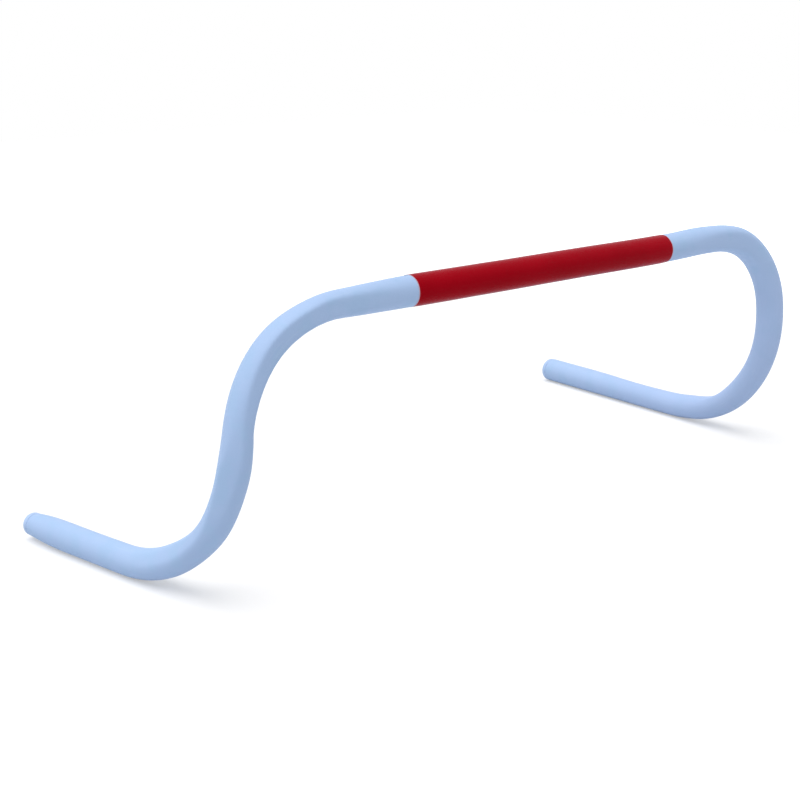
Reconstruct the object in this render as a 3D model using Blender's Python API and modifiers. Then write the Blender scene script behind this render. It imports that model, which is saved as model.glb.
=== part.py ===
"""Training hurdle: one hot-bent plastic pipe on two weighted feet, with a red film sleeve on its bar."""

import math

import bmesh
import bpy
from mathutils import Matrix, Vector


# The pipe
PIPE_DIAMETER = 0.0320
PIPE_WALL = 0.0024
PIPE_SIDES = 28

# The bend layout, measured on the pipe's centre line
BAR_TOP_HEIGHT = 0.2960
BAR_STRAIGHT_LENGTH = 0.5800
TOP_BEND_RADIUS = 0.1165
TOP_BEND_STEPS = 15
FOOT_BEND_RADIUS = 0.1545
FOOT_BEND_STEPS = 16
LEG_OUTWARD_LEAN_DEG = 4.7
LEFT_FOOT_STRAIGHT = 0.1520
RIGHT_FOOT_STRAIGHT = 0.2480
LEFT_FOOT_SPLAY_DEG = 8.0
RIGHT_FOOT_SPLAY_DEG = 2.9

# How far the pipe goes oval where it was bent: a share lost in the plane of the bend.
# The outside of a bend flattens more than its inside, and the left bends more than the right.
LEFT_TOP_BEND_FLATTENING = 0.130
RIGHT_TOP_BEND_FLATTENING = 0.020
LEFT_FOOT_BEND_FLATTENING = 0.070
RIGHT_FOOT_BEND_FLATTENING = 0.020
OUTSIDE_SHARE = 1.60
INSIDE_SHARE = 0.40
OVAL_SPREAD = 0.40
OVAL_RUN_DEG = 24.0

# The red film sleeve
SLEEVE_LENGTH = 0.3880
SLEEVE_OFFSET = -0.0045
SLEEVE_THICKNESS = 0.0004
SLEEVE_EDGE_CHAMFER = 0.00015
SLEEVE_GAP = 0.0003

# The end caps
CAP_SEAT_GAP = 0.0003
CAP_RIM_LENGTH = 0.0030
CAP_DOME_HEIGHT = 0.0080
CAP_STEM_LENGTH = 0.0220
CAP_STEM_CLEARANCE = 0.0003
CAP_STEM_RIBS = 3
CAP_RIB_WIDTH = 0.0030
CAP_GROOVE_DEPTH = 0.0012
CAP_HOLLOW_RADIUS = 0.0090
CAP_HOLLOW_DEPTH = 0.0190

# The ballast rods and the bungs that stop them from sliding round the bend
ROD_CLEARANCE = 0.0003
ROD_LENGTH = 0.0900
ROD_CHAMFER = 0.0015
ROD_GAP = 0.0003
STOP_LENGTH = 0.0160
STOP_CLEARANCE = 0.0003
STOP_RIB_WIDTH = 0.0030
STOP_WAIST_DEPTH = 0.0014
STOP_HOLE_RADIUS = 0.0030

WELD_DISTANCE = 0.00001


# Derived sizes shared by pieces that fit into one another
PIPE_RADIUS = PIPE_DIAMETER / 2
BORE_RADIUS = PIPE_RADIUS - PIPE_WALL
HALF_FACET = math.pi / PIPE_SIDES
FACET_RADIUS = PIPE_RADIUS * math.cos(HALF_FACET)
BAR_CENTRE_HEIGHT = BAR_TOP_HEIGHT - FACET_RADIUS


# The plastics and the steel
COLOURS = {
    "pipe_plastic": ((0.52, 0.66, 0.86, 1.0), 0.42, 0.0),
    "red_film": ((0.42, 0.005, 0.012, 1.0), 0.18, 0.0),
    "cap_plastic": ((0.55, 0.70, 0.89, 1.0), 0.45, 0.0),
    "ballast_steel": ((0.22, 0.22, 0.23, 1.0), 0.55, 1.0),
    "bung_rubber": ((0.03, 0.03, 0.03, 1.0), 0.80, 0.0),
}


def make_material(name):
    """One Principled material with the colour, roughness and metallic of a real surface."""
    colour, roughness, metallic = COLOURS[name]
    material = bpy.data.materials.new(name)
    material.use_nodes = True
    shader = material.node_tree.nodes["Principled BSDF"]
    shader.inputs["Base Color"].default_value = colour
    shader.inputs["Roughness"].default_value = roughness
    shader.inputs["Metallic"].default_value = metallic
    material.diffuse_color = colour
    return material


def add_object(name, mesh, material, placing):
    """Put a mesh in the hurdle's collection under its own name, material and placing."""
    mesh.materials.append(material)
    mesh.polygons.foreach_set("use_smooth", [True] * len(mesh.polygons))
    thing = bpy.data.objects.new(name, mesh)
    thing.matrix_world = placing
    hurdle.objects.link(thing)
    return thing


# The centre line of the pipe
def oval_share(turned, whole):
    """0 at both ends of a bend, 1 along its middle, eased over OVAL_RUN_DEG."""
    run = math.radians(OVAL_RUN_DEG)
    near = min(1.0, turned / run, (whole - turned) / run)
    near = max(0.0, near)
    return near * near * (3 - 2 * near)


def add_bend(stations, start, heading, radius, steps, flattening):
    """Append the stations of a bend that turns from the last heading to a new one."""
    point = stations[-1]["point"]
    whole = start.angle(heading)
    axis = start.cross(heading).normalized()
    inward = axis.cross(start)
    for step in range(1, steps + 1):
        turned = whole * step / steps
        tangent = start * math.cos(turned) + inward * math.sin(turned)
        reach = start * math.sin(turned) + inward * (1 - math.cos(turned))
        stations.append(
            {
                "point": point + reach * radius,
                "tangent": tangent,
                "inward": axis.cross(tangent),
                "across": axis,
                "flat": flattening * oval_share(turned, whole),
            }
        )


def add_straight(stations, length):
    """Append one round station a length further along the last heading."""
    last = stations[-1]
    stations.append(
        {
            "point": last["point"] + last["tangent"] * length,
            "tangent": last["tangent"],
            "inward": last["inward"],
            "across": last["across"],
            "flat": 0.0,
        }
    )


def bend_drop(start, heading, radius):
    """How far a bend from one heading to another goes down."""
    axis = start.cross(heading).normalized()
    inward = axis.cross(start)
    whole = start.angle(heading)
    return -(start.z * math.sin(whole) + inward.z * (1 - math.cos(whole))) * radius


def half_centre_line(side, foot_length, splay_deg, top_flattening, foot_flattening):
    """Stations from the middle of the bar to one foot's open end; side is -1 or 1."""
    lean = math.radians(LEG_OUTWARD_LEAN_DEG)
    splay = math.radians(splay_deg)
    bar = Vector((side, 0, 0))
    leg = Vector((side * math.sin(lean), 0, -math.cos(lean)))
    foot = Vector((side * math.sin(splay), math.cos(splay), 0))

    drop = bend_drop(bar, leg, TOP_BEND_RADIUS) + bend_drop(leg, foot, FOOT_BEND_RADIUS)
    leg_straight = (BAR_CENTRE_HEIGHT - FACET_RADIUS - drop) / math.cos(lean)

    stations = [
        {
            "point": Vector((0, 0, BAR_CENTRE_HEIGHT)),
            "tangent": bar,
            "inward": Vector((0, 0, -1)),
            "across": Vector((0, side, 0)),
            "flat": 0.0,
        }
    ]
    add_straight(stations, BAR_STRAIGHT_LENGTH / 2)
    add_bend(stations, bar, leg, TOP_BEND_RADIUS, TOP_BEND_STEPS, top_flattening)
    add_straight(stations, leg_straight)
    add_bend(stations, leg, foot, FOOT_BEND_RADIUS, FOOT_BEND_STEPS, foot_flattening)
    add_straight(stations, foot_length / 2)
    add_straight(stations, foot_length / 2)
    return stations


def carry_frames(stations):
    """Give each station two directions across the pipe, carried along without a twist."""
    first = Vector((0, 0, 1))
    second = Vector((0, -1, 0))
    before = stations[0]["tangent"]
    for station in stations:
        turn = before.rotation_difference(station["tangent"])
        first = turn @ first
        second = turn @ second
        before = station["tangent"]
        station["frame"] = (first.copy(), second.copy())


def level_the_foot(stations, side):
    """Ease the section round along the foot bend, so that one flat of the foot faces the ground."""
    first, second = stations[-1]["frame"]
    down = Vector((0, 0, -1))
    angle = math.atan2(down.dot(second), down.dot(first))
    facet = 2 * HALF_FACET
    spare = angle - facet * round(angle / facet)
    start = 2 + TOP_BEND_STEPS
    end = start + FOOT_BEND_STEPS
    for number, station in enumerate(stations):
        share = min(1.0, max(0.0, (number - start) / (end - start)))
        turn = Matrix.Rotation(side * spare * share, 3, station["tangent"])
        first, second = station["frame"]
        station["frame"] = (turn @ first, turn @ second)


def section(station, radius):
    """The corner points of the pipe's section, flattened in the plane of its bend."""
    first, second = station["frame"]
    squeeze = station["flat"]
    corners = []
    for side in range(PIPE_SIDES):
        angle = 2 * HALF_FACET * side + HALF_FACET
        offset = (first * math.cos(angle) + second * math.sin(angle)) * radius
        depth = offset.dot(station["inward"])
        share = INSIDE_SHARE if depth > 0 else OUTSIDE_SHARE
        offset -= station["inward"] * (depth * squeeze * share)
        offset += station["across"] * (offset.dot(station["across"]) * squeeze * OVAL_SPREAD)
        corners.append(station["point"] + offset)
    return corners


# The bent pipe: a loft between round sections on the straights and oval ones in the bends
def make_pipe(stations, centre, material):
    """Loft the outside and the bore along the centre line and close both open ends' rims."""
    shell = bmesh.new()
    skins = []
    for radius in (PIPE_RADIUS, BORE_RADIUS):
        rings = []
        for station in stations:
            rings.append([shell.verts.new(p - centre) for p in section(station, radius)])
        for near, far in zip(rings, rings[1:]):
            for side in range(PIPE_SIDES):
                after = (side + 1) % PIPE_SIDES
                shell.faces.new((near[side], near[after], far[after], far[side]))
        skins.append(rings)
    for end in (0, -1):
        outer = skins[0][end]
        inner = skins[1][end]
        for side in range(PIPE_SIDES):
            after = (side + 1) % PIPE_SIDES
            shell.faces.new((outer[side], outer[after], inner[after], inner[side]))
    bmesh.ops.recalc_face_normals(shell, faces=shell.faces[:])
    if shell.calc_volume(signed=True) < 0:
        bmesh.ops.reverse_faces(shell, faces=shell.faces[:])
    mesh = bpy.data.meshes.new("bent_pipe")
    shell.to_mesh(mesh)
    shell.free()
    pipe = add_object("bent_pipe", mesh, material, Matrix.Translation(centre))
    return pipe


# Turned pieces: a profile of (radius, height) points swept round the local Z axis
def make_turned(name, profile, closed, material, placing):
    """Turn a profile with the Screw tool; its flats line up with those of the pipe."""
    mesh = bpy.data.meshes.new(name)
    cos_start = math.cos(HALF_FACET)
    sin_start = math.sin(HALF_FACET)
    points = [(r * cos_start, r * sin_start, z) for r, z in profile]
    edges = [(i, i + 1) for i in range(len(points) - 1)]
    if closed:
        edges.append((len(points) - 1, 0))
    mesh.from_pydata(points, edges, [])
    thing = bpy.data.objects.new(name, mesh)
    screw = thing.modifiers.new("turn", "SCREW")
    screw.axis = "Z"
    screw.angle = 2 * math.pi
    screw.steps = PIPE_SIDES
    screw.render_steps = PIPE_SIDES
    screw.use_merge_vertices = True
    screw.merge_threshold = WELD_DISTANCE
    hurdle.objects.link(thing)
    bpy.context.view_layer.update()
    graph = bpy.context.evaluated_depsgraph_get()
    solid = bpy.data.meshes.new_from_object(thing.evaluated_get(graph))
    bpy.data.objects.remove(thing)

    body = bmesh.new()
    body.from_mesh(solid)
    bmesh.ops.remove_doubles(body, verts=body.verts[:], dist=WELD_DISTANCE)
    bmesh.ops.recalc_face_normals(body, faces=body.faces[:])
    if body.calc_volume(signed=True) < 0:
        bmesh.ops.reverse_faces(body, faces=body.faces[:])
    body.to_mesh(solid)
    body.free()
    solid.name = name
    return add_object(name, solid, material, placing)


def sleeve_profile():
    """The film's section: a thin ring with softened edges."""
    inner = PIPE_RADIUS + SLEEVE_GAP
    outer = inner + SLEEVE_THICKNESS
    half = SLEEVE_LENGTH / 2
    soft = SLEEVE_EDGE_CHAMFER
    return [
        (inner, -half),
        (outer - soft, -half),
        (outer, -half + soft),
        (outer, half - soft),
        (outer - soft, half),
        (inner, half),
    ]


def cap_profile():
    """A push-in cap: rounded nose and rim outside, ribbed hollow stem inside the bore."""
    stem = BORE_RADIUS - CAP_STEM_CLEARANCE
    seat = CAP_SEAT_GAP
    shoulder = seat + CAP_RIM_LENGTH
    profile = [(0.0, shoulder + CAP_DOME_HEIGHT)]
    for step in range(1, 9):
        lift = math.pi / 2 * (1 - step / 8)
        profile.append(
            (
                PIPE_RADIUS * math.cos(lift) ** 0.8,
                shoulder + CAP_DOME_HEIGHT * math.sin(lift) ** 0.9,
            )
        )
    profile.append((PIPE_RADIUS, seat + 0.0004))
    profile.append((PIPE_RADIUS - 0.0004, seat))
    profile.append((stem, seat))
    groove = stem - CAP_GROOVE_DEPTH
    pitch = (CAP_STEM_LENGTH - CAP_RIB_WIDTH) / CAP_STEM_RIBS
    for rib in range(CAP_STEM_RIBS):
        top = -CAP_RIB_WIDTH - rib * pitch
        profile.append((stem, top))
        profile.append((groove, top - 0.0006))
        profile.append((groove, top - pitch + CAP_RIB_WIDTH + 0.0006))
        profile.append((stem, top - pitch + CAP_RIB_WIDTH))
    profile.append((stem, -CAP_STEM_LENGTH + 0.0008))
    profile.append((stem - 0.0008, -CAP_STEM_LENGTH))
    profile.append((CAP_HOLLOW_RADIUS, -CAP_STEM_LENGTH))
    profile.append((CAP_HOLLOW_RADIUS, -CAP_STEM_LENGTH + CAP_HOLLOW_DEPTH))
    profile.append((0.0, -CAP_STEM_LENGTH + CAP_HOLLOW_DEPTH))
    return profile


def rod_profile():
    """A plain steel bar with chamfered ends."""
    radius = BORE_RADIUS - ROD_CLEARANCE
    half = ROD_LENGTH / 2
    return [
        (0.0, half),
        (radius - ROD_CHAMFER, half),
        (radius, half - ROD_CHAMFER),
        (radius, -half + ROD_CHAMFER),
        (radius - ROD_CHAMFER, -half),
        (0.0, -half),
    ]


def stop_profile():
    """A rubber bung with two rubbing ribs, a waist and a vent hole through it."""
    radius = BORE_RADIUS - STOP_CLEARANCE
    waist = radius - STOP_WAIST_DEPTH
    half = STOP_LENGTH / 2
    rib = STOP_RIB_WIDTH
    return [
        (STOP_HOLE_RADIUS, half),
        (radius - 0.0008, half),
        (radius, half - 0.0008),
        (radius, half - rib),
        (waist, half - rib - 0.0010),
        (waist, -half + rib + 0.0010),
        (radius, -half + rib),
        (radius, -half + 0.0008),
        (radius - 0.0008, -half),
        (STOP_HOLE_RADIUS, -half),
    ]


def along_foot(stations, back):
    """Placing whose Z runs out of the foot, a length back from its open end, flats level."""
    end = stations[-1]
    outward = end["tangent"]
    upward = Vector((0, 0, 1))
    turn = Matrix((upward, outward.cross(upward), outward)).transposed()
    return Matrix.Translation(end["point"] - outward * back) @ turn.to_4x4()


for old in list(bpy.data.objects):
    bpy.data.objects.remove(old)

hurdle = bpy.data.collections.new("training_hurdle")
bpy.context.scene.collection.children.link(hurdle)
materials = {name: make_material(name) for name in COLOURS}

halves = {
    "left": half_centre_line(
        -1,
        LEFT_FOOT_STRAIGHT,
        LEFT_FOOT_SPLAY_DEG,
        LEFT_TOP_BEND_FLATTENING,
        LEFT_FOOT_BEND_FLATTENING,
    ),
    "right": half_centre_line(
        1,
        RIGHT_FOOT_STRAIGHT,
        RIGHT_FOOT_SPLAY_DEG,
        RIGHT_TOP_BEND_FLATTENING,
        RIGHT_FOOT_BEND_FLATTENING,
    ),
}
for name, side in (("left", -1), ("right", 1)):
    carry_frames(halves[name])
    level_the_foot(halves[name], side)

bar_middle = Vector((0, 0, BAR_CENTRE_HEIGHT))
whole_line = halves["left"][:0:-1] + halves["right"][1:]
make_pipe(whole_line, bar_middle, materials["pipe_plastic"])

# The sleeve's own Z lies along the bar
lay_down = Matrix(((0, 0, 1), (0, 1, 0), (-1, 0, 0))).to_4x4()
sleeve_middle = bar_middle + Vector((SLEEVE_OFFSET, 0, 0))
make_turned(
    "red_sleeve",
    sleeve_profile(),
    True,
    materials["red_film"],
    Matrix.Translation(sleeve_middle) @ lay_down,
)

# Each foot holds a cap, then the ballast rod behind it, then the bung behind the rod
for side, stations in halves.items():
    rod_back = CAP_STEM_LENGTH + ROD_GAP + ROD_LENGTH / 2
    stop_back = rod_back + ROD_LENGTH / 2 + ROD_GAP + STOP_LENGTH / 2
    make_turned(
        side + "_end_cap",
        cap_profile(),
        False,
        materials["cap_plastic"],
        along_foot(stations, 0.0),
    )
    make_turned(
        side + "_ballast_rod",
        rod_profile(),
        False,
        materials["ballast_steel"],
        along_foot(stations, rod_back),
    )
    make_turned(
        side + "_ballast_stop",
        stop_profile(),
        True,
        materials["bung_rubber"],
        along_foot(stations, stop_back),
    )

# Bring the middle of the hurdle's footprint to the origin
bpy.context.view_layer.update()
corners = [thing.matrix_world @ v.co for thing in hurdle.objects for v in thing.data.vertices]
shift = Vector(
    (
        -(min(c.x for c in corners) + max(c.x for c in corners)) / 2,
        -(min(c.y for c in corners) + max(c.y for c in corners)) / 2,
        0,
    )
)
for thing in hurdle.objects:
    thing.location += shift
bpy.context.view_layer.update()
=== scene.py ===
import bpy
import numpy as np
from mathutils import Matrix, Vector


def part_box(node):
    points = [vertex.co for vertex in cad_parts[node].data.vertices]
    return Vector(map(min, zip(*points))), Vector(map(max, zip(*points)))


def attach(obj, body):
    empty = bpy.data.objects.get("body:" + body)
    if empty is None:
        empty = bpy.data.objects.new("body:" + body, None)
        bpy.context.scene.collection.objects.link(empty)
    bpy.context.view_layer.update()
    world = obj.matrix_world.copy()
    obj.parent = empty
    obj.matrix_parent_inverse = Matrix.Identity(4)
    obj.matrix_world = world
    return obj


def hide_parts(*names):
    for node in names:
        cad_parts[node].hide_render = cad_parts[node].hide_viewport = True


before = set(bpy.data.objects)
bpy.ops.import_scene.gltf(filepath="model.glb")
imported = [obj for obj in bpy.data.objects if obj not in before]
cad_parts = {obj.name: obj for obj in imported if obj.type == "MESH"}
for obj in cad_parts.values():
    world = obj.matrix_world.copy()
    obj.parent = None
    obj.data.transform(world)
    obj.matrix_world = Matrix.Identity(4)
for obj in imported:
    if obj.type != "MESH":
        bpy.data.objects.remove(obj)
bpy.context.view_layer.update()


# The camera stands low in front of the left leg and looks along the bar towards the
# right leg. Its place, turn and lens are those that make the pipe's outline fit.
CAMERA_PLACE = (-1.13974, -1.28505, 0.56957)
CAMERA_FORWARD = (0.63683, 0.72795, -0.25404)
CAMERA_RIGHT = (0.75278, -0.65828, 0.00078)
CAMERA_LENS_MM = 67.240
CAMERA_SENSOR_MM = 36.0
CAMERA_SHIFT = (-0.00935, -0.02550)
CAMERA_NEAR_LIMIT = 0.05
CAMERA_FAR_LIMIT = 50.0

camera_data = bpy.data.cameras.new("photo_camera")
camera_data.sensor_width = CAMERA_SENSOR_MM
camera_data.lens = CAMERA_LENS_MM
camera_data.shift_x, camera_data.shift_y = CAMERA_SHIFT
camera_data.clip_start = CAMERA_NEAR_LIMIT
camera_data.clip_end = CAMERA_FAR_LIMIT
camera = bpy.data.objects.new("photo_camera", camera_data)
forward = Vector(CAMERA_FORWARD).normalized()
across_view = Vector(CAMERA_RIGHT).normalized()
up_view = across_view.cross(forward)
turned_to_view = Matrix((across_view, up_view, -forward)).transposed().to_4x4()
camera.matrix_world = Matrix.Translation(CAMERA_PLACE) @ turned_to_view
bpy.context.scene.collection.objects.link(camera)
bpy.context.scene.camera = camera


# The pipe: one hollow pipe of pale blue plastic, hot bent by hand in four places, which
# stands free on its two feet. In the bends its section goes oval, the skin is pressed
# flat in places, and the inside of each bend has shallow ripples of squeezed plastic.
PIPE_RADIUS = 0.0160
PIPE_WALL = 0.0024
CUT_ROUNDING = 0.0004
BAR_STRAIGHT = 0.5800
TOP_BEND_RADIUS = 0.1165
FOOT_BEND_RADIUS = 0.1545
LEG_LEAN = np.radians(4.7)
FOOT_STRAIGHT = {"left": 0.1520, "right": 0.2480}
FOOT_SPLAY = {"left": np.radians(8.0), "right": np.radians(2.9)}
SLEEVE_OFFSET = -0.0045

# The feet's centre line lies a little lower than the pipe's radius, because the hurdle's
# weight presses the skin level with the ground
FOOT_CENTRE_HEIGHT = 0.0159

# How far each bend was squeezed oval, as a share of the radius, how much of that spreads
# across the bend, and where beyond the bend's two ends (within it, if negative) and over
# what lengths the oval eases into the round pipe
TOP_FLATTENING = {"left": 0.220, "right": 0.020}
FOOT_FLATTENING = {"left": 0.150, "right": 0.020}
OVAL_SPREAD = 0.30
TOP_OVAL = {"before": 0.014, "after": 0.014, "ease_in": 0.120, "ease_out": 0.055}
FOOT_OVAL = {"before": -0.035, "after": -0.100, "ease_in": 0.060, "ease_out": 0.065}

RINGS_PER_METRE = 420
BEND_RINGS_PER_METRE = 588
FEWEST_RINGS = 3
BORE_RING_SPACING = 5
PIPE_SIDES = 80

sleeve_low, sleeve_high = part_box("red_sleeve")
BAR_MIDDLE = np.array((sleeve_low + sleeve_high) / 2) - (SLEEVE_OFFSET, 0, 0)


def turned(vector, axis, angles):
    """One vector turned about an axis by many angles:
    v cos + (axis x v) sin + axis (axis . v) (1 - cos)."""
    cos = np.cos(angles)[:, None]
    sin = np.sin(angles)[:, None]
    return vector * cos + np.cross(axis, vector) * sin + axis * (axis @ vector) * (1 - cos)


def bend_plane(start, heading):
    """The axis of a bend, the direction to its inside where it starts, and its whole angle."""
    axis = np.cross(start, heading)
    axis /= np.linalg.norm(axis)
    return axis, np.cross(axis, start), np.arccos(start @ heading)


def bend_drop(start, heading, radius):
    """Height lost in a bend: minus the z of radius times (start sin + inward (1 - cos))."""
    _, inward, whole = bend_plane(start, heading)
    return -(start[2] * np.sin(whole) + inward[2] * (1 - np.cos(whole))) * radius


def eased(share):
    """0 below 0, 1 above 1, and 3 x^2 - 2 x^3 between."""
    share = np.clip(share, 0, 1)
    return share * share * (3 - 2 * share)


def oval_window(along, start, stop, before, after, ease_in, ease_out):
    """1 within a bend and 0 well outside it: an eased rise over ease_in centred before the
    bend's start, times an eased fall over ease_out centred after its stop."""
    rise = (along - (start - before)) / ease_in + 0.5
    fall = ((stop + after) - along) / ease_out + 0.5
    return eased(rise) * eased(fall)


def lengths_along(points):
    """The length run along a chain of points at each of them, the running sum of its steps."""
    steps = np.linalg.norm(np.diff(points, axis=0), axis=1)
    return np.concatenate([[0.0], np.cumsum(steps)])


def straight_stretch(here, length):
    """Points that step from here along the tangent, with unchanged directions."""
    point, *directions = here
    count = max(FEWEST_RINGS, int(length * RINGS_PER_METRE))
    points = point + np.linspace(0, length, count)[:, None] * directions[0]
    return length, [points, *(np.repeat(each[None], count, 0) for each in directions)]


def bent_stretch(here, start, heading, radius):
    """Points at here + radius (start sin + inward (1 - cos)), with directions turned alike."""
    point, _, first, second = here
    axis, inward, whole = bend_plane(start, heading)
    angles = np.linspace(0, whole, int(whole * radius * BEND_RINGS_PER_METRE))
    swing = start * np.sin(angles)[:, None] + inward * (1 - np.cos(angles))[:, None]
    directions = [turned(each, axis, angles) for each in (start, first, second)]
    return whole * radius, [point + radius * swing, *directions]


def half_centre_line(side):
    """Points, tangents, the section's two directions and two flattenings, from the bar's middle
    to one foot's end, through a straight, the top bend, the leg, the foot bend and the foot.

    The section's first direction points to the outside of the top bend, its second to the
    outside of the foot bend. Each stretch starts at the last point of the one before it, and
    that point is kept only once.
    """
    sign = -1.0 if side == "left" else 1.0
    splay = FOOT_SPLAY[side]
    bar = np.array([sign, 0.0, 0.0])
    leg = np.array([sign * np.sin(LEG_LEAN), 0.0, -np.cos(LEG_LEAN)])
    foot = np.array([sign * np.sin(splay), np.cos(splay), 0.0])
    drop = bend_drop(bar, leg, TOP_BEND_RADIUS) + bend_drop(leg, foot, FOOT_BEND_RADIUS)
    leg_straight = (BAR_MIDDLE[2] - FOOT_CENTRE_HEIGHT - drop) / np.cos(LEG_LEAN)
    route = (
        (straight_stretch, BAR_STRAIGHT / 2),
        (bent_stretch, bar, leg, TOP_BEND_RADIUS),
        (straight_stretch, leg_straight),
        (bent_stretch, leg, foot, FOOT_BEND_RADIUS),
        (straight_stretch, FOOT_STRAIGHT[side]),
    )
    here = [BAR_MIDDLE, bar, np.array([0.0, 0.0, 1.0]), np.array([0.0, -1.0, 0.0])]
    ends = [0.0]
    stretches = []
    for stretch, *measures in route:
        length, columns = stretch(here, *measures)
        ends.append(ends[-1] + length)
        shared = 1 if stretches else 0
        stretches.append([column[shared:] for column in columns])
        here = [column[-1] for column in columns]
    line = [np.concatenate(columns) for columns in zip(*stretches)]
    from_middle = lengths_along(line[0])
    top = TOP_FLATTENING[side] * oval_window(from_middle, ends[1], ends[2], **TOP_OVAL)
    low = FOOT_FLATTENING[side] * oval_window(from_middle, ends[3], ends[4], **FOOT_OVAL)
    return [*line, top, low]


# The whole pipe's line is the left half reversed and joined to the right half, and its
# lengths run from the left open end
left_line = half_centre_line("left")
right_line = half_centre_line("right")
pipe_line = [np.concatenate([a[:0:-1], b]) for a, b in zip(left_line, right_line)]
pipe_run = lengths_along(pipe_line[0])
bar_middle_run = pipe_run[len(left_line[0]) - 1]
round_angles = np.linspace(0, 2 * np.pi, PIPE_SIDES, endpoint=False)

# Where the pipe was pressed flat against its former: the place along it from the left open
# end, the flat's half length, its depth below the round pipe, and the way that it faces,
# turned from the outside of the top bend towards the outside of the foot bend
PRESSED_FLATS = (
    (0.095, 0.075, 0.0011, np.radians(-110.0)),
    (0.255, 0.060, 0.0014, np.radians(-20.0)),
    (0.360, 0.060, 0.0030, np.radians(38.0)),
    (0.520, 0.110, 0.0030, np.radians(90.0)),
    (0.590, 0.075, 0.0040, np.radians(-34.0)),
    (1.175, 0.060, 0.0022, np.radians(90.0)),
    (1.400, 0.060, 0.0028, np.radians(-38.0)),
    (1.498, 0.040, 0.0038, np.radians(-86.0)),
    (1.635, 0.060, 0.0016, np.radians(-62.0)),
)
FLAT_SOFTNESS = 0.0010

# The bore follows the flats only between these two places along the pipe, and eases into
# them; nearer to the open ends it stays round, because the ballast lies there
BALLAST_ENDS = (0.130, 1.668)
BORE_EASE = 0.035

# How far the hand-bent pipe wanders off its straights and arcs: the place along it, the
# length over which it does, and the shift to the outside of the top and the foot bend
WANDERS = (
    (0.292, 0.034, 0.0, 0.0022),
    (0.383, 0.024, 0.0006, 0.0),
    (0.430, 0.050, -0.0012, 0.0),
    (0.470, 0.090, 0.0, -0.0009),
    (0.532, 0.034, -0.0015, 0.0),
    (0.625, 0.038, 0.0005, 0.0),
    (0.820, 0.110, -0.0006, 0.0),
    (1.020, 0.110, -0.0014, 0.0),
    (1.115, 0.035, 0.0010, 0.0),
    (1.170, 0.024, -0.0009, 0.0),
    (1.290, 0.040, 0.0007, 0.0004),
    (1.465, 0.030, 0.0, 0.0006),
    (1.550, 0.022, 0.0, -0.0010),
)

# Where it is a little thicker: the place, the length, and the gain in radius towards the
# outside of the top and of the foot bend
SWELLS = (
    (0.385, 0.028, 0.0007, 0.0),
    (0.490, 0.040, 0.0007, 0.0),
    (0.552, 0.022, 0.0008, 0.0),
    (0.598, 0.030, 0.0006, 0.0),
    (1.105, 0.035, 0.0003, 0.0),
    (1.200, 0.030, 0.0007, 0.0),
    (1.300, 0.080, 0.0018, 0.0002),
    (1.420, 0.050, 0.0, 0.0004),
)

# How far the left open end is drawn in, over what length outside and in the bore, and the
# power by which it falls towards the end
DRAWN_IN = 0.0036
DRAWN_LENGTH = 0.070
DRAWN_BORE_LENGTH = 0.022
DRAWN_POWER = 2.2

# The skin's unevenness: slow waves of 17 cm to one side and of 9 cm to both sides, how much
# of them shows on the straights and how much more with the oval of the bends, and ripples
# of 15 mm inside the bends. Rates are in radians for each metre of pipe.
SIDE_WAVE_HEIGHT = 0.00016
SIDE_WAVE = {"rate": 37.0, "start": 1.3}
SIDE_WAVE_FACES = 0.7
OVAL_WAVE_HEIGHT = 0.00012
OVAL_WAVE = {"rate": 71.0, "sway": 2.1, "sway_rate": 9.0}
OVAL_WAVE_TWIST = 11.0
WAVES_ON_STRAIGHTS = 0.3
WAVES_WITH_OVAL = 4.0
RIPPLE_HEIGHT = 0.0005
RIPPLE = {"rate": 420.0, "sway": 2.0, "sway_rate": 55.0}


def along_bells(along, rows):
    """The sum of the rows' bell curves exp(-((s - place) / length)^2), along each direction."""
    place, length, top, foot = np.array(rows).T
    bells = np.exp(-(((along[:, None] - place) / length) ** 2))
    return (bells @ top)[:, None], (bells @ foot)[:, None]


def swaying_wave(s, rate, start=0.0, sway=0.0, sway_rate=0.0):
    """sin(rate s + start + sway sin(sway_rate s)): a wave whose pitch comes and goes."""
    return np.sin(s * rate + start + sway * np.sin(s * sway_rate))


def skin_unevenness(s, a, top_squeeze, foot_squeeze):
    """How far the skin stands proud at length s and angle a round the pipe.

    The slow waves along s are multiplied by a cosine of a and a twisting cosine of 2 a. The
    ripples are multiplied by the squeeze and by the squared cosine from the bend's inside.
    """
    side_wave = SIDE_WAVE_HEIGHT * swaying_wave(s, **SIDE_WAVE) * np.cos(a - SIDE_WAVE_FACES)
    oval_wave = OVAL_WAVE_HEIGHT * swaying_wave(s, **OVAL_WAVE)
    oval_wave = oval_wave * np.cos(2 * a + s * OVAL_WAVE_TWIST)
    strength = WAVES_ON_STRAIGHTS + WAVES_WITH_OVAL * (top_squeeze + foot_squeeze)
    top_inside = np.clip(-np.cos(a), 0, 1) ** 2 * top_squeeze
    foot_inside = np.clip(-np.sin(a), 0, 1) ** 2 * foot_squeeze
    ripple = RIPPLE_HEIGHT * swaying_wave(s, **RIPPLE)
    return (side_wave + oval_wave) * strength + ripple * (top_inside + foot_inside)


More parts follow.
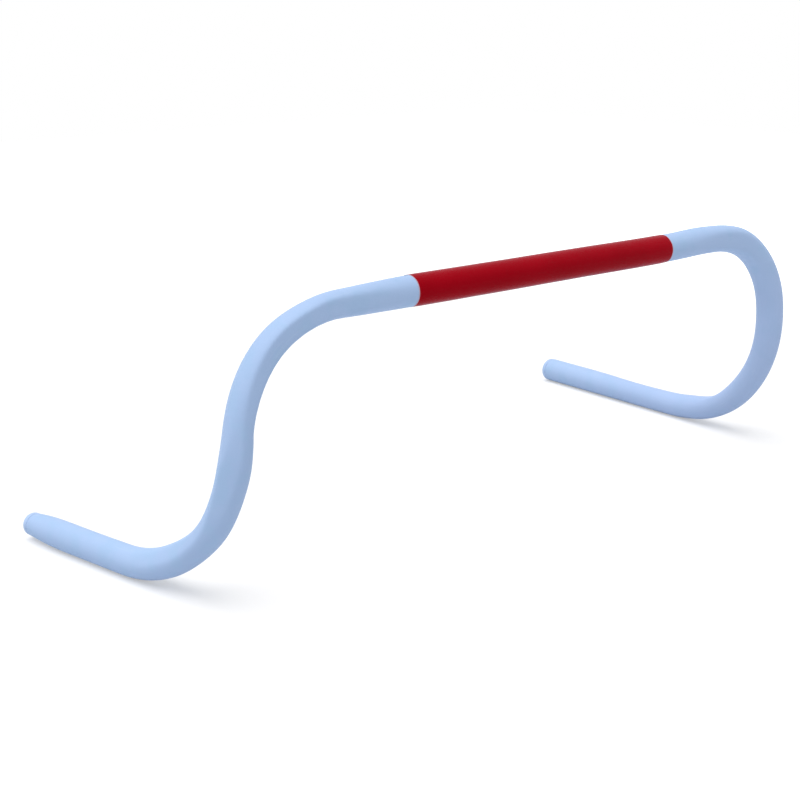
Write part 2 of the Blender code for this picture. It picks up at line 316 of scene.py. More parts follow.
def pipe_rings(radius, drawn_length, uneven=0.0, pressed=1.0):
    """Rings of the pipe: centre + first u + second v, where (u, v) is a circle, made uneven by
    the share uneven, thicker by the swells, squeezed and spread by the two flattenings, cut
    back at the pressed flats by the share pressed, and shifted by the wanders.

    At the left end the radius falls by DRAWN_IN (1 - s / drawn_length) to DRAWN_POWER. A flat
    lies deepest in its middle and rises by (distance / half length)^2; what stands over it is
    cut back by softness log(1 + exp(over / softness)), so its edges are soft. Where the feet
    touch the ground, their weight presses the skin level with it.
    """
    points, _, firsts, seconds, top, foot = pipe_line
    s = pipe_run[:, None]
    a = round_angles[None]
    top_squeeze = top[:, None]
    foot_squeeze = foot[:, None]
    drawn = DRAWN_IN * np.clip(1 - s / drawn_length, 0, 1) ** DRAWN_POWER
    reach = radius + skin_unevenness(s, a, top_squeeze, foot_squeeze) * uneven - drawn
    top_gain, foot_gain = along_bells(pipe_run, SWELLS)
    u = np.cos(a) * (reach + top_gain) * (1 - top_squeeze) * (1 + OVAL_SPREAD * foot_squeeze)
    v = np.sin(a) * (reach + foot_gain) * (1 - foot_squeeze) * (1 + OVAL_SPREAD * top_squeeze)
    for place, half_length, depth, facing in PRESSED_FLATS:
        level = radius - depth * (1 - ((s - place) / half_length) ** 2)
        over = u * np.cos(facing) + v * np.sin(facing) - level
        cut = pressed * FLAT_SOFTNESS * np.logaddexp(0, over / FLAT_SOFTNESS)
        u = u - cut * np.cos(facing)
        v = v - cut * np.sin(facing)
    top_shift, foot_shift = along_bells(pipe_run, WANDERS)
    u = u + top_shift
    v = v + foot_shift
    rings = points[:, None] + firsts[:, None] * u[..., None] + seconds[:, None] * v[..., None]
    rings[..., 2] = np.maximum(rings[..., 2], 0.0)
    return rings


def moved_back(rings, end):
    """One end ring moved back from the cut by its rounding, towards the next ring."""
    tangent = pipe_line[1][end]
    inwards = np.sign((rings[1 if end == 0 else -2] - rings[end]).mean(0) @ tangent)
    return rings[end] + tangent * inwards * CUT_ROUNDING


def ring_mesh(name, rings, metres_round, metres_along):
    """A mesh of quads on a grid of rings, closed round each ring and from the last ring back
    to the first; its UV map holds metres round and metres along the piece."""
    count, sides = rings.shape[:2]
    row, column = np.divmod(np.arange(count * sides), sides)
    next_row = (row + 1) % count
    next_column = (column + 1) % sides
    corners = np.stack(
        [
            row * sides + column,
            row * sides + next_column,
            next_row * sides + next_column,
            next_row * sides + column,
        ],
        -1,
    )
    mesh = bpy.data.meshes.new(name)
    mesh.vertices.add(count * sides)
    mesh.vertices.foreach_set("co", rings.reshape(-1).astype(np.float32))
    mesh.loops.add(corners.size)
    mesh.loops.foreach_set("vertex_index", corners.reshape(-1).astype(np.int32))
    mesh.polygons.add(len(corners))
    mesh.polygons.foreach_set("loop_start", np.arange(0, corners.size, 4, dtype=np.int32))
    mesh.polygons.foreach_set("use_smooth", np.ones(len(corners), bool))
    closed_along = np.append(metres_along, metres_along[0])
    u = (column[:, None] + np.array([0, 1, 1, 0])) / sides * metres_round
    v = closed_along[row[:, None] + np.array([0, 0, 1, 1])]
    uv = mesh.uv_layers.new(name="surface_metres")
    uv.data.foreach_set("uv", np.stack([u, v], -1).reshape(-1).astype(np.float32))
    mesh.update()
    mesh.validate()
    return mesh


def outward(mesh):
    """Turn every face the other way round if the closed mesh's signed volume is negative."""
    points = np.zeros(len(mesh.vertices) * 3)
    mesh.vertices.foreach_get("co", points)
    points = points.reshape(-1, 3)
    mesh.calc_loop_triangles()
    triangles = np.zeros(len(mesh.loop_triangles) * 3, np.int32)
    mesh.loop_triangles.foreach_get("vertices", triangles)
    a, b, c = (points[triangles.reshape(-1, 3)[:, i]] for i in range(3))
    if np.einsum("ij,ij->i", a, np.cross(b, c)).sum() < 0:
        mesh.flip_normals()
    return mesh


def show(name, mesh, material, node):
    """Put a finished mesh in the scene in place of its CAD node, riding on the one rigid body."""
    piece = bpy.data.objects.new(name, mesh)
    bpy.context.scene.collection.objects.link(piece)
    mesh.materials.append(material)
    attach(piece, "root")
    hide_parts(node)
    return piece


def feed(tree, value, socket):
    """Link another node's output to an input socket, or set it to a plain number or colour."""
    if isinstance(value, bpy.types.NodeSocket):
        tree.links.new(value, socket)
    else:
        socket.default_value = value


def add_node(tree, kind, settings=None, **values):
    """One node with its properties from settings and its inputs fed by their names."""
    node = tree.nodes.new(kind)
    for key, value in (settings or {}).items():
        setattr(node, key, value)
    for key, value in values.items():
        feed(tree, value, node.inputs[key.replace("_", " ")])
    return node


def combine(tree, operation, a, b):
    """A Math node on two sockets or numbers."""
    node = add_node(tree, "ShaderNodeMath", {"operation": operation})
    feed(tree, a, node.inputs[0])
    feed(tree, b, node.inputs[1])
    return node.outputs[0]


def add_shares(tree, shares, **sources):
    """The share called plain, plus each source times the share that has its name."""
    total = shares["plain"]
    for name, source in sources.items():
        total = combine(tree, "ADD", total, combine(tree, "MULTIPLY", source, shares[name]))
    return total


def blend_colour(tree, share, a, b):
    """A colour mix of two sockets or colours: its sockets 0, 6 and 7 take the share and the
    two colours, and its output 2 gives the result."""
    node = add_node(tree, "ShaderNodeMix", {"data_type": "RGBA"})
    for index, value in ((0, share), (6, a), (7, b)):
        feed(tree, value, node.inputs[index])
    return node.outputs[2]


def lay_over(tree, tint, *layers):
    """A colour under layers of other colours, each mixed in by its own share."""
    for share, colour in layers:
        tint = blend_colour(tree, share, tint, colour)
    return tint


def ramp_between(tree, source, low, high):
    """A value eased from 0 at low to 1 at high."""
    settings = {"interpolation_type": "SMOOTHSTEP"}
    node = add_node(tree, "ShaderNodeMapRange", settings, Value=source, From_Min=low, From_Max=high)
    return node.outputs["Result"]


def noise(tree, vector, scale, detail, roughness=0.5):
    """The value of a noise texture, 0 to 1, at a vector; features are about 1 / scale wide."""
    texture = add_node(
        tree, "ShaderNodeTexNoise", Vector=vector, Scale=scale, Detail=detail, Roughness=roughness
    )
    return texture.outputs["Fac"]


def new_group(name, inputs, outputs):
    """A shader node group with named sockets, all plain numbers but the one called Vector,
    returned with its input and output nodes."""
    group = bpy.data.node_groups.new(name, "ShaderNodeTree")
    for way, labels in (("INPUT", inputs), ("OUTPUT", outputs)):
        for label in labels:
            kind = "NodeSocketVector" if label == "Vector" else "NodeSocketFloat"
            group.interface.new_socket(label, in_out=way, socket_type=kind)
    return group, group.nodes.new("NodeGroupInput"), group.nodes.new("NodeGroupOutput")


FINE_GRAIN_SHARE = 0.35
COARSE_GRAIN_SHARE = 0.65
COARSE_GRAIN_SCALE = 0.25


def make_moulded_grain():
    """Group: the faint orange peel of extruded or moulded plastic, and slow mottling.

    Height is a share of fine noise plus a larger share of noise four times coarser; Mottle is
    slow noise, eased to 0 and 1.
    """
    group, start, end = new_group(
        "moulded_grain", ("Vector", "Grain Scale", "Mottle Scale"), ("Height", "Mottle")
    )
    vector, grain_scale, mottle_scale = (start.outputs[i] for i in range(3))
    coarse_scale = combine(group, "MULTIPLY", grain_scale, COARSE_GRAIN_SCALE)
    fine = noise(group, vector, scale=grain_scale, detail=3.0, roughness=0.55)
    coarse = noise(group, vector, scale=coarse_scale, detail=2.0)
    fine = combine(group, "MULTIPLY", fine, FINE_GRAIN_SHARE)
    coarse = combine(group, "MULTIPLY", coarse, COARSE_GRAIN_SHARE)
    slow = noise(group, vector, scale=mottle_scale, detail=4.0, roughness=0.6)
    group.links.new(combine(group, "ADD", fine, coarse), end.inputs["Height"])
    group.links.new(ramp_between(group, slow, low=0.32, high=0.68), end.inputs["Mottle"])
    return group


def make_handling_marks():
    """Group: fine scuffs drawn out along a surface.

    They are noise stretched by Round across and Along lengthwise, cut to thin streaks where
    it passes Cut, and kept to the patches of a slower noise.
    """
    group, start, end = new_group(
        "handling_marks", ("Vector", "Along", "Round", "Cut"), ("Marks",)
    )
    vector, lengthwise, across, least = (start.outputs[i] for i in range(4))
    stretch = add_node(group, "ShaderNodeCombineXYZ", X=across, Y=lengthwise, Z=lengthwise)
    scaled = add_node(group, "ShaderNodeVectorMath", {"operation": "MULTIPLY"})
    group.links.new(vector, scaled.inputs[0])
    group.links.new(stretch.outputs["Vector"], scaled.inputs[1])
    streaks = noise(group, scaled.outputs["Vector"], scale=1.0, detail=2.0, roughness=0.6)
    thin = ramp_between(group, combine(group, "SUBTRACT", streaks, least), low=0.0, high=0.08)
    slow = noise(group, vector, scale=16.0, detail=2.0)
    patches = ramp_between(group, slow, low=0.48, high=0.62)
    group.links.new(combine(group, "MULTIPLY", thin, patches), end.inputs["Marks"])
    return group


moulded_grain = make_moulded_grain()
handling_marks = make_handling_marks()


def place_group(tree, group, **values):
    """The outputs of a node that holds a shared group, fed with its own vector and values."""
    return add_node(tree, "ShaderNodeGroup", {"node_tree": group}, **values).outputs


def start_material(name):
    """A new Principled material, its node tree, and its object and surface coordinates."""
    material = bpy.data.materials.new(name)
    material.use_nodes = True
    tree = material.node_tree
    places = tree.nodes.new("ShaderNodeTexCoord")
    return material, tree, places.outputs["Object"], places.outputs["UV"]


def fill_surface(material, tint, rough, height, relief, **constants):
    """Fill a material's Principled shader: linked colour and roughness, the height's bump with
    its relief in metres, and constants on the shader's own sockets."""
    tree = material.node_tree
    shader = tree.nodes["Principled BSDF"]
    bump = add_node(tree, "ShaderNodeBump", Height=height, Strength=1.0, Distance=relief)
    tree.links.new(tint, shader.inputs["Base Color"])
    tree.links.new(rough, shader.inputs["Roughness"])
    tree.links.new(bump.outputs["Normal"], shader.inputs["Normal"])
    for key, value in constants.items():
        shader.inputs[key.replace("_", " ")].default_value = value
    return material


# Pale blue plastic: lighter and darker patches of about ten centimetres, blotches of about
# two, a slow drift towards violet, orange peel, scuffs along the pipe, and a little dust
# where the feet touch the ground
PIPE_LIGHT = (0.440, 0.586, 0.845, 1.0)
PIPE_DEEP = (0.412, 0.553, 0.815, 1.0)
PIPE_VIOLET = (0.432, 0.548, 0.822, 1.0)
PIPE_BLOTCH = (0.398, 0.562, 0.812, 1.0)
SCUFF = (0.52, 0.65, 0.86, 1.0)
GROUND_DUST = (0.42, 0.49, 0.58, 1.0)
PIPE_ROUGHNESS = {"plain": 0.48, "mottle": 0.07, "scuffs": 0.12, "dust": 0.30}
PIPE_RELIEF = 0.00022
BLOTCH_SHARE = 0.75
VIOLET_SHARE = 0.6
SCUFF_SHARE = 0.35
SCUFF_DEPTH = 0.25
DUST_SHARE = 0.40
DUST_REACH = 0.009


def make_pipe_plastic():
    """Colour from two patchy tints under blotches, violet, scuffs and dust; roughness rises
    with the mottle, scuffs and dust; the scuffs lie a little below the grain."""
    material, tree, spot, surface = start_material("pipe_plastic_finish")
    grain = place_group(tree, moulded_grain, Vector=spot, Grain_Scale=700.0, Mottle_Scale=7.0)
    marks = place_group(tree, handling_marks, Vector=surface, Along=9.0, Round=520.0, Cut=0.62)
    mottle, scuffs = grain["Mottle"], marks["Marks"]
    blotches = ramp_between(
        tree, noise(tree, spot, scale=48.0, detail=2.0, roughness=0.45), low=0.44, high=0.66
    )
    drift = ramp_between(tree, noise(tree, spot, scale=3.2, detail=2.0), low=0.45, high=0.70)
    specks = ramp_between(
        tree, noise(tree, spot, scale=260.0, detail=4.0, roughness=0.7), low=0.40, high=0.62
    )
    height_above = add_node(tree, "ShaderNodeSeparateXYZ", Vector=spot).outputs["Z"]
    above_dust = ramp_between(tree, height_above, low=0.0, high=DUST_REACH)
    low = combine(tree, "SUBTRACT", 1.0, above_dust)
    dust = combine(tree, "MULTIPLY", combine(tree, "MULTIPLY", low, specks), DUST_SHARE)
    tint = lay_over(
        tree,
        blend_colour(tree, mottle, PIPE_DEEP, PIPE_LIGHT),
        (combine(tree, "MULTIPLY", blotches, BLOTCH_SHARE), PIPE_BLOTCH),
        (combine(tree, "MULTIPLY", drift, VIOLET_SHARE), PIPE_VIOLET),
        (combine(tree, "MULTIPLY", scuffs, SCUFF_SHARE), SCUFF),
        (dust, GROUND_DUST),
    )
    rough = add_shares(tree, PIPE_ROUGHNESS, mottle=mottle, scuffs=scuffs, dust=dust)
    sunk = combine(tree, "MULTIPLY", scuffs, SCUFF_DEPTH)
    height = combine(tree, "SUBTRACT", grain["Height"], sunk)
    return fill_surface(material, tint, rough, height, PIPE_RELIEF, Specular_IOR_Level=0.12)


bore_pressed = (
    eased((pipe_run - BALLAST_ENDS[0]) / BORE_EASE)
    * eased((BALLAST_ENDS[1] - pipe_run) / BORE_EASE)
)[:, None]
outside = pipe_rings(PIPE_RADIUS, DRAWN_LENGTH, uneven=1.0)
outer_lip = pipe_rings(PIPE_RADIUS - CUT_ROUNDING, DRAWN_LENGTH)
inner_lip = pipe_rings(PIPE_RADIUS - PIPE_WALL + CUT_ROUNDING, DRAWN_LENGTH)
bore = pipe_rings(PIPE_RADIUS - PIPE_WALL, DRAWN_BORE_LENGTH, pressed=bore_pressed)

last_inner = len(pipe_run) - 2
bore_count = len(pipe_run) // BORE_RING_SPACING
bore_rows = np.unique(np.linspace(1, last_inner, bore_count).astype(int))[::-1]
pipe_grid = np.concatenate(
    [
        moved_back(outside, 0)[None],
        outside[1:-1],
        moved_back(outside, -1)[None],
        outer_lip[-1:],
        inner_lip[-1:],
        moved_back(bore, -1)[None],
        bore[bore_rows],
        moved_back(bore, 0)[None],
        inner_lip[:1],
        outer_lip[:1],
    ]
)
pipe_along = np.concatenate([pipe_run, [pipe_run[-1]] * 3, pipe_run[bore_rows], [0.0] * 3])
pipe_mesh = ring_mesh("bent_pipe_skin", pipe_grid, 2 * np.pi * PIPE_RADIUS, pipe_along)
pipe = show("bent_pipe_skin", outward(pipe_mesh), make_pipe_plastic(), "bent_pipe")


# The red film: a glossy plastic sleeve, 0.3 mm thick, shrunk on the middle of the bar. It
# is drawn in a little towards its cut edges, where a fine pale line is a painted highlight,
# and it has faint draw lines and dimples.
FILM_LENGTH = 0.3880
FILM_GAP = 0.00006
FILM_THICKNESS = 0.00032
FILM_INSIDE = PIPE_RADIUS + FILM_GAP
FILM_OUTSIDE = FILM_INSIDE + FILM_THICKNESS
FILM_SIDES = 96
FILM_RINGS = 260
FILM_CROWDING = 1.6

# The film's small forms: its dimples and ridges, with their rates in radians for each metre
# of bar, the height, width and unevenness of the proud cut edge, the drawn-in end, the sway
# and nicks of the cut line, the share of each half in which it sways, and how far the
# middle of the cut lies below and beyond the rest
DIMPLE_HEIGHT, DIMPLE_RATE, DIMPLE_TWIST = 0.00003, 95.0, 21.0
RIDGE_HEIGHT, RIDGE_TWIST = 0.000015, 60.0
EDGE_PROUD, EDGE_PROUD_WIDTH, EDGE_UNEVEN = 0.00005, 0.0012, 0.3
END_DRAWN_IN, END_DRAWN_WIDTH = 0.00022, 0.006
CUT_SWAY, CUT_NICKS = 0.00022, 0.00009
CUT_SWAY_SHARE = 0.03
CUT_BELOW, CUT_BEYOND = 0.00028, 0.0001

FILM_RED = (0.352, 0.0004, 0.0060, 1.0)
FILM_DEEP_RED = (0.325, 0.0004, 0.0050, 1.0)
# Painted highlight: a pale mauve colour on the film's last millimetre at each cut edge, in place of
# the light that the edge catches; FILM_EDGE_FROM and FILM_EDGE_TO bound it
FILM_EDGE_HIGHLIGHT = (0.58, 0.44, 0.52, 1.0)
FILM_EDGE_FROM, FILM_EDGE_TO = 0.0005, 0.0012
FILM_GLOSS_TINT = (0.60, 0.02, 0.06, 1.0)
FILM_HAZE_TINT = (0.45, 0.50, 0.80, 1.0)
FILM_ROUGHNESS = {"plain": 0.20, "mottle": 0.05, "draws": 0.10, "edge": 0.2}
FILM_RELIEF = 0.00018
FILM_DRAW_DEPTH = 0.3


def make_film_grid():
    """Rings round the bar's line: outside, cut edge, inside, cut edge back to the start.

    The outside's radius has shallow dimples and ridges (sines round and along), draws in over
    the last centimetre by a bell curve, and is slightly proud in the last millimetre. The cut
    line sways to and fro as it goes round. The line rises and falls with the pipe's wanders.
    """
    middle = BAR_MIDDLE + (SLEEVE_OFFSET, 0, 0)
    half = FILM_LENGTH / 2
    even = np.linspace(-half, half, FILM_RINGS)
    crowded = np.sign(even) * half * (1 - (1 - np.abs(even) / half) ** FILM_CROWDING)
    s = crowded[:, None]
    a = np.linspace(0, 2 * np.pi, FILM_SIDES, endpoint=False)[None]
    from_edge = half - np.abs(s)
    dimples = DIMPLE_HEIGHT * np.sin(s * DIMPLE_RATE + np.sin(3 * a))
    dimples = dimples * np.sin(2 * a + s * DIMPLE_TWIST)
    ridges = RIDGE_HEIGHT * np.sin(7 * a + s * RIDGE_TWIST)
    proud = EDGE_PROUD * np.exp(-((from_edge / EDGE_PROUD_WIDTH) ** 2))
    proud = proud * (1 + EDGE_UNEVEN * np.sin(5 * a + 1.0))
    drawn_in = END_DRAWN_IN * np.exp(-((from_edge / END_DRAWN_WIDTH) ** 2))
    outer = FILM_OUTSIDE + dimples + ridges + proud - drawn_in
    sway = CUT_SWAY * np.sin(2 * a + 0.4) + CUT_NICKS * np.sin(5 * a + 2.0)
    near_cut = np.clip(np.abs(s) / half - (1 - CUT_SWAY_SHARE), 0, 1) / CUT_SWAY_SHARE
    places = s + sway * near_cut * np.sign(s)
    inner = np.full_like(outer, FILM_INSIDE)
    cut = np.full((1, FILM_SIDES), FILM_OUTSIDE - CUT_BELOW)
    radii = np.concatenate([outer, cut, inner[::-1], cut])
    along = np.concatenate(
        [places, places[-1:] + CUT_BEYOND, places[::-1], places[:1] - CUT_BEYOND]
    )
    lengths = np.concatenate([crowded, [half], crowded[::-1], [-half]])
    rise = along_bells(lengths + SLEEVE_OFFSET + bar_middle_run, WANDERS)[0]
    level = middle[1] + radii * np.sin(a)
    upright = middle[2] + radii * np.cos(a) + rise
    return np.stack([middle[0] + along, level, upright], -1), lengths + half


def make_red_film():
    """Deep glossy red with slow mottling, faint draw lines along the bar, a painted highlight
    of pale mauve along the cut edges, and a faint cool haze."""
    material, tree, spot, surface = start_material("red_film_finish")
    grain = place_group(tree, moulded_grain, Vector=spot, Grain_Scale=420.0, Mottle_Scale=16.0)
    marks = place_group(tree, handling_marks, Vector=surface, Along=7.0, Round=620.0, Cut=0.60)
    mottle, draws = grain["Mottle"], marks["Marks"]
    along = add_node(tree, "ShaderNodeSeparateXYZ", Vector=surface).outputs["Y"]
    past_start = ramp_between(tree, along, low=FILM_EDGE_FROM, high=FILM_EDGE_TO)
    near_start = combine(tree, "SUBTRACT", 1.0, past_start)
    near_end = ramp_between(
        tree, along, low=FILM_LENGTH - FILM_EDGE_TO, high=FILM_LENGTH - FILM_EDGE_FROM
    )
    edge = combine(tree, "MAXIMUM", near_start, near_end)
    # Painted highlight: the edge mask lays the pale edge colour over the red at both cut edges
    tint = lay_over(
        tree, blend_colour(tree, mottle, FILM_DEEP_RED, FILM_RED), (edge, FILM_EDGE_HIGHLIGHT)
    )
    rough = add_shares(tree, FILM_ROUGHNESS, mottle=mottle, draws=draws, edge=edge)
    sunk = combine(tree, "MULTIPLY", draws, FILM_DRAW_DEPTH)
    height = combine(tree, "SUBTRACT", grain["Height"], sunk)
    return fill_surface(
        material,
        tint,
        rough,
        height,
        FILM_RELIEF,
        Specular_IOR_Level=0.02,
        Specular_Tint=FILM_GLOSS_TINT,
        Sheen_Weight=0.16,
        Sheen_Roughness=0.40,
        Sheen_Tint=FILM_HAZE_TINT,
    )


film_grid, film_along = make_film_grid()
film_mesh = ring_mesh("red_film_sleeve", film_grid, 2 * np.pi * FILM_OUTSIDE, film_along)
film = show("red_film_sleeve", outward(film_mesh), make_red_film(), "red_sleeve")


# The end caps: moulded plastic plugs pushed into the two feet. Only the rim and the
# rounded nose show; a ribbed hollow stem holds each in the bore.
CAP_SEAT = 0.0003
CAP_RIM = 0.0030
CAP_RIM_CHAMFER = 0.0005
CAP_RIM_BREAK = 0.00015
CAP_NOSE = 0.0080
CAP_NOSE_RINGS = 33
CAP_GATE_DEPTH, CAP_GATE_WIDTH = 0.00025, 0.0016
CAP_STEM = 0.0220
CAP_STEM_INSET = 0.0027
CAP_STEM_CHAMFER = 0.0008
CAP_RIBS = 3
CAP_RIB_WIDTH = 0.0030
CAP_GROOVE_DEPTH, CAP_GROOVE_SLOPE = 0.0012, 0.0006
CAP_HOLLOW_INSET = 0.0043
CAP_HOLLOW_DEPTH = 0.0190
CAP_SIDES = 96
CAP_LIGHT = (0.460, 0.605, 0.860, 1.0)
CAP_DEEP = (0.435, 0.578, 0.835, 1.0)
CAP_ROUGHNESS = {"plain": 0.36, "mottle": 0.06, "scuffs": 0.14}
CAP_RELIEF = 0.00012
CAP_SCUFF_SHARE = 0.3

# The right cap is a little smaller than the pipe round it, and the left one is smaller
# still, because the pipe's left end is drawn in
CAP_UNDERSIZE = 0.00011
CAP_RADIUS = {"left": PIPE_RADIUS - DRAWN_IN, "right": PIPE_RADIUS - CAP_UNDERSIZE}


def cap_profile(radius):
    """(radius, height) from beside the nose's middle over the rim, down the ribbed stem and up
    its hollow, with the heights of the nose's middle and of the hollow's end.

    The nose is a quarter of an ellipse with a gate dimple in its middle, exp(-(r / width)^4)
    deep; every corner is broken by a short chamfer.
    """
    lift = np.linspace(np.pi / 2, 0, CAP_NOSE_RINGS + 1)[1:]
    nose_base = CAP_SEAT + CAP_RIM
    nose_radius = radius * np.cos(lift)
    gate = CAP_GATE_DEPTH * np.exp(-((nose_radius / CAP_GATE_WIDTH) ** 4))
    nose_height = nose_base + CAP_NOSE * np.sin(lift) - gate
    stem_radius = radius - CAP_STEM_INSET
    groove_radius = stem_radius - CAP_GROOVE_DEPTH
    hollow = stem_radius - CAP_HOLLOW_INSET
    hollow_end = -CAP_STEM + CAP_HOLLOW_DEPTH
    rim = [
        (radius, CAP_SEAT + CAP_RIM / 2),
        (radius, CAP_SEAT + CAP_RIM_CHAMFER),
        (radius - CAP_RIM_BREAK, CAP_SEAT + CAP_RIM_BREAK),
        (radius - CAP_RIM_CHAMFER, CAP_SEAT),
        (stem_radius, CAP_SEAT),
    ]
    stem = []
    pitch = (CAP_STEM - CAP_RIB_WIDTH) / CAP_RIBS
    for rib in range(CAP_RIBS):
        top = -CAP_RIB_WIDTH - rib * pitch
        bottom = top - pitch + CAP_RIB_WIDTH
        stem += [
            (stem_radius, top),
            (groove_radius, top - CAP_GROOVE_SLOPE),
            (groove_radius, bottom + CAP_GROOVE_SLOPE),
            (stem_radius, bottom),
        ]
    tail = [
        (stem_radius, -CAP_STEM + CAP_STEM_CHAMFER),
        (stem_radius - CAP_STEM_CHAMFER, -CAP_STEM),
        (hollow, -CAP_STEM),
        (hollow, hollow_end),
    ]
    outline = np.array([*zip(nose_radius, nose_height), *rim, *stem, *tail])
    return outline, nose_base + CAP_NOSE - CAP_GATE_DEPTH, hollow_end


def turned_mesh(name, outline, top, bottom, origin, axis, sides):
    """A profile turned round an axis: origin + axis z + (level cos + upright sin) r, closed by
    a fan of triangles at each end of the profile."""
    upright = np.array([0.0, 0.0, 1.0])
    level = np.cross(upright, axis)
    level /= np.linalg.norm(level)
    around = np.linspace(0, 2 * np.pi, sides, endpoint=False)
    spokes = level * np.cos(around)[:, None] + upright * np.sin(around)[:, None]
    radii, heights = outline.T[:, :, None, None]
    rings = origin + axis * heights + spokes[None] * radii
    tips = [origin + axis * top, origin + axis * bottom]
    points = np.concatenate([rings.reshape(-1, 3), tips])
    column = np.arange(sides)
    following = (column + 1) % sides
    row = np.arange(len(outline) - 1)[:, None] * sides
    last = (len(outline) - 1) * sides
    next_row = row + sides
    quads = np.stack(
        [row + column, row + following, next_row + following, next_row + column], -1
    )
    top_tip = np.full(sides, len(points) - 2)
    low_tip = np.full(sides, len(points) - 1)
    top_fan = np.stack([following, column, top_tip], -1)
    low_fan = np.stack([last + column, last + following, low_tip], -1)
    faces = quads.reshape(-1, 4).tolist() + top_fan.tolist() + low_fan.tolist()
    mesh = bpy.data.meshes.new(name)
    mesh.from_pydata(points.tolist(), [], faces)
    mesh.polygons.foreach_set("use_smooth", np.ones(len(faces), bool))
    mesh.update()
    return mesh


def make_cap_plastic():
    """The pipe's pale blue, a little lighter and smoother, with its own grain and scuffs."""
    material, tree, spot, _ = start_material("cap_plastic_finish")
    grain = place_group(tree, moulded_grain, Vector=spot, Grain_Scale=950.0, Mottle_Scale=60.0)
    marks = place_group(tree, handling_marks, Vector=spot, Along=160.0, Round=900.0, Cut=0.60)
    mottle, scuffs = grain["Mottle"], marks["Marks"]
    worn = combine(tree, "MULTIPLY", scuffs, CAP_SCUFF_SHARE)
    tint = lay_over(tree, blend_colour(tree, mottle, CAP_DEEP, CAP_LIGHT), (worn, SCUFF))
    rough = add_shares(tree, CAP_ROUGHNESS, mottle=mottle, scuffs=scuffs)
    height = grain["Height"]
    return fill_surface(material, tint, rough, height, CAP_RELIEF, Specular_IOR_Level=0.16)


cap_plastic = make_cap_plastic()
for side, half_line in (("left", left_line), ("right", right_line)):
    mouth, outward_axis = half_line[0][-1], half_line[1][-1]
    profile, nose_top, hollow_top = cap_profile(CAP_RADIUS[side])
    cap_mesh = turned_mesh(
        side + "_cap_shell", profile, nose_top, hollow_top, mouth, outward_axis, CAP_SIDES
    )
    cap = show(side + "_cap_shell", outward(cap_mesh), cap_plastic, side + "_end_cap")


# The ballast: a sawn steel bar in each foot, kept from sliding round the bend by a
# rubber bung. Both are out of sight in the bore and keep their CAD shapes.
STEEL_DARK = (0.16, 0.16, 0.17, 1.0)
STEEL_BRIGHT = (0.36, 0.36, 0.37, 1.0)
RUST = (0.16, 0.07, 0.035, 1.0)
STEEL_ROUGHNESS = {"plain": 0.38, "rust": 0.4}
STEEL_RELIEF = 0.0001
RUBBER_BLACK = (0.020, 0.020, 0.021, 1.0)
RUBBER_BLOOM = (0.060, 0.060, 0.062, 1.0)
RUBBER_ROUGHNESS = {"plain": 0.68, "mottle": 0.12}
RUBBER_RELIEF = 0.00025


def make_ballast_steel():
    """Dull mill steel: fine grain, dark scale patches and a few freckles of rust."""
    material, tree, spot, _ = start_material("ballast_steel_finish")
    grain = place_group(tree, moulded_grain, Vector=spot, Grain_Scale=1400.0, Mottle_Scale=45.0)
    freckles = noise(tree, spot, scale=170.0, detail=5.0, roughness=0.7)
    rust = ramp_between(tree, freckles, low=0.60, high=0.72)
    steel = blend_colour(tree, grain["Mottle"], STEEL_DARK, STEEL_BRIGHT)
    tint = lay_over(tree, steel, (rust, RUST))
    rough = add_shares(tree, STEEL_ROUGHNESS, rust=rust)
    height = grain["Height"]
    fill_surface(material, tint, rough, height, STEEL_RELIEF, Specular_IOR_Level=0.5)
    metal = combine(tree, "SUBTRACT", 1.0, rust)
    tree.links.new(metal, tree.nodes["Principled BSDF"].inputs["Metallic"])
    return material


def make_bung_rubber():
    """Black rubber with a grey bloom in patches and a matt, slightly pitted skin."""
    material, tree, spot, _ = start_material("bung_rubber_finish")
    grain = place_group(tree, moulded_grain, Vector=spot, Grain_Scale=1600.0, Mottle_Scale=90.0)
    tint = blend_colour(tree, grain["Mottle"], RUBBER_BLACK, RUBBER_BLOOM)
    rough = add_shares(tree, RUBBER_ROUGHNESS, mottle=grain["Mottle"])
    height = grain["Height"]
    return fill_surface(material, tint, rough, height, RUBBER_RELIEF, Specular_IOR_Level=0.3)


hidden_finishes = {"ballast_rod": make_ballast_steel(), "ballast_stop": make_bung_rubber()}
for side in ("left", "right"):
    for part, finish in hidden_finishes.items():
        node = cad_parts[side + "_" + part]
        for material_slot in node.material_slots:
            material_slot.material = finish


# The studio: a plain pale floor that shows white to the camera but keeps the hurdle's
# shadow, a white surround that also lights softly, and one broad overhead light, far away.
FLOOR_SIZE = 8.0
FLOOR_HEIGHT = -0.0002
FLOOR_PALE = (0.680, 0.693, 0.710, 1.0)
FLOOR_SEEN = (0.622, 0.612, 0.606, 1.0)
FLOOR_LIFT = 0.40
FLOOR_FADE_FROM, FLOOR_FADE_TO = 0.75, 2.2
PURE_WHITE = (1.0, 1.0, 1.0, 1.0)
SURROUND_GLOW = (0.95, 0.975, 1.0, 1.0)
SURROUND_STRENGTH = 0.56
OVERHEAD_FROM = (-1.20, 0.16, 3.92)
OVERHEAD_STRENGTH = 2.05
OVERHEAD_SPREAD = np.radians(58.0)


def seen_rays(tree):
    """1 for rays straight from the camera, and 1 for those and for rays off a mirror or
    through a clear body, from one Light Path node."""
    path = tree.nodes.new("ShaderNodeLightPath").outputs
    direct = path["Is Camera Ray"]
    seen = combine(tree, "MAXIMUM", direct, path["Is Glossy Ray"])
    return direct, combine(tree, "MAXIMUM", seen, path["Is Transmission Ray"])


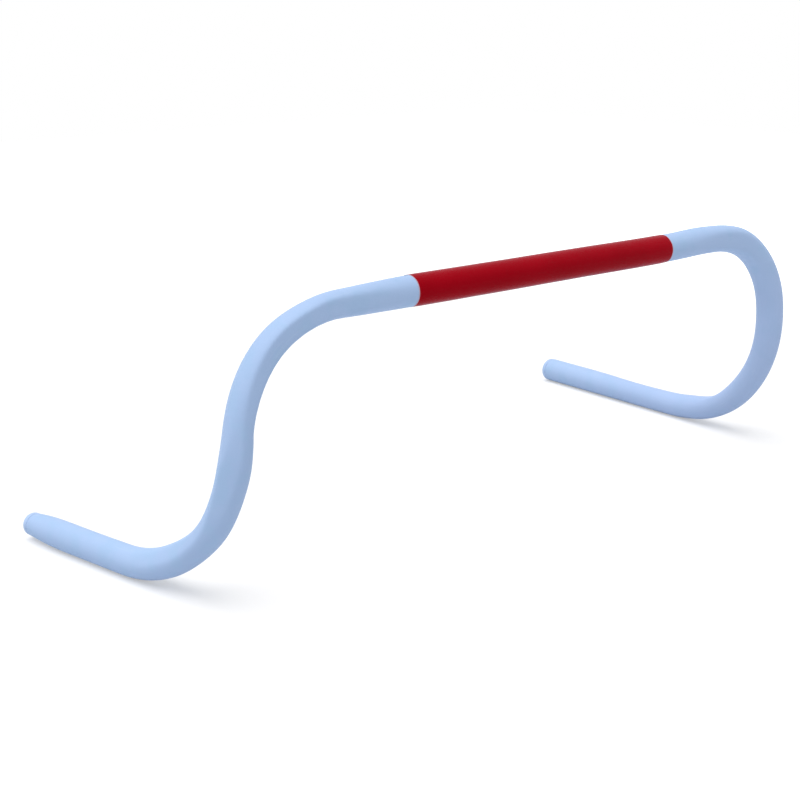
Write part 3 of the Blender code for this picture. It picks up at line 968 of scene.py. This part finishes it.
def make_floor():
    """A square plane under the feet, whose material adds white only where it is looked at:
    FLOOR_LIFT of it near the hurdle, eased up to the whole of it far away."""
    half = FLOOR_SIZE / 2
    square = ((-half, -half), (half, -half), (half, half), (-half, half))
    mesh = bpy.data.meshes.new("studio_floor")
    mesh.from_pydata([(x, y, FLOOR_HEIGHT) for x, y in square], [], [(0, 1, 2, 3)])
    floor = bpy.data.objects.new("studio_floor", mesh)
    bpy.context.scene.collection.objects.link(floor)
    material, tree, spot, _ = start_material("studio_floor")
    tree.nodes.remove(tree.nodes["Principled BSDF"])
    direct, seen = seen_rays(tree)
    paint = blend_colour(tree, direct, FLOOR_PALE, FLOOR_SEEN)
    distance = add_node(tree, "ShaderNodeVectorMath", {"operation": "LENGTH"})
    tree.links.new(spot, distance.inputs[0])
    far = ramp_between(tree, distance.outputs["Value"], low=FLOOR_FADE_FROM, high=FLOOR_FADE_TO)
    lift = combine(tree, "ADD", FLOOR_LIFT, combine(tree, "MULTIPLY", far, 1.0 - FLOOR_LIFT))
    white = combine(tree, "MULTIPLY", seen, lift)
    matt = add_node(tree, "ShaderNodeBsdfDiffuse", Color=paint)
    glow = add_node(tree, "ShaderNodeEmission", Color=PURE_WHITE, Strength=white)
    both = tree.nodes.new("ShaderNodeAddShader")
    tree.links.new(matt.outputs[0], both.inputs[0])
    tree.links.new(glow.outputs[0], both.inputs[1])
    tree.links.new(both.outputs[0], tree.nodes["Material Output"].inputs["Surface"])
    mesh.materials.append(material)


def make_surround():
    """The world: white where the camera or a reflection looks, a soft cool glow as light."""
    world = bpy.data.worlds.new("studio_surround")
    bpy.context.scene.world = world
    world.use_nodes = True
    tree = world.node_tree
    soft = tree.nodes["Background"]
    soft.inputs["Color"].default_value = SURROUND_GLOW
    soft.inputs["Strength"].default_value = SURROUND_STRENGTH
    white = add_node(tree, "ShaderNodeBackground", Color=PURE_WHITE, Strength=1.0)
    choose = add_node(tree, "ShaderNodeMixShader")
    tree.links.new(seen_rays(tree)[1], choose.inputs[0])
    tree.links.new(soft.outputs[0], choose.inputs[1])
    tree.links.new(white.outputs[0], choose.inputs[2])
    tree.links.new(choose.outputs[0], tree.nodes["World Output"].inputs["Surface"])


def add_overhead():
    """A broad distant light: as soft as an overhead sheet of cloth, as strong on both feet."""
    data = bpy.data.lights.new("overhead_light", "SUN")
    data.energy = OVERHEAD_STRENGTH
    data.angle = OVERHEAD_SPREAD
    lamp = bpy.data.objects.new("overhead_light", data)
    lamp.matrix_world = Vector(OVERHEAD_FROM).to_track_quat("Z", "Y").to_matrix().to_4x4()
    bpy.context.scene.collection.objects.link(lamp)


make_floor()
make_surround()
add_overhead()

bpy.context.scene.view_settings.view_transform = "Standard"
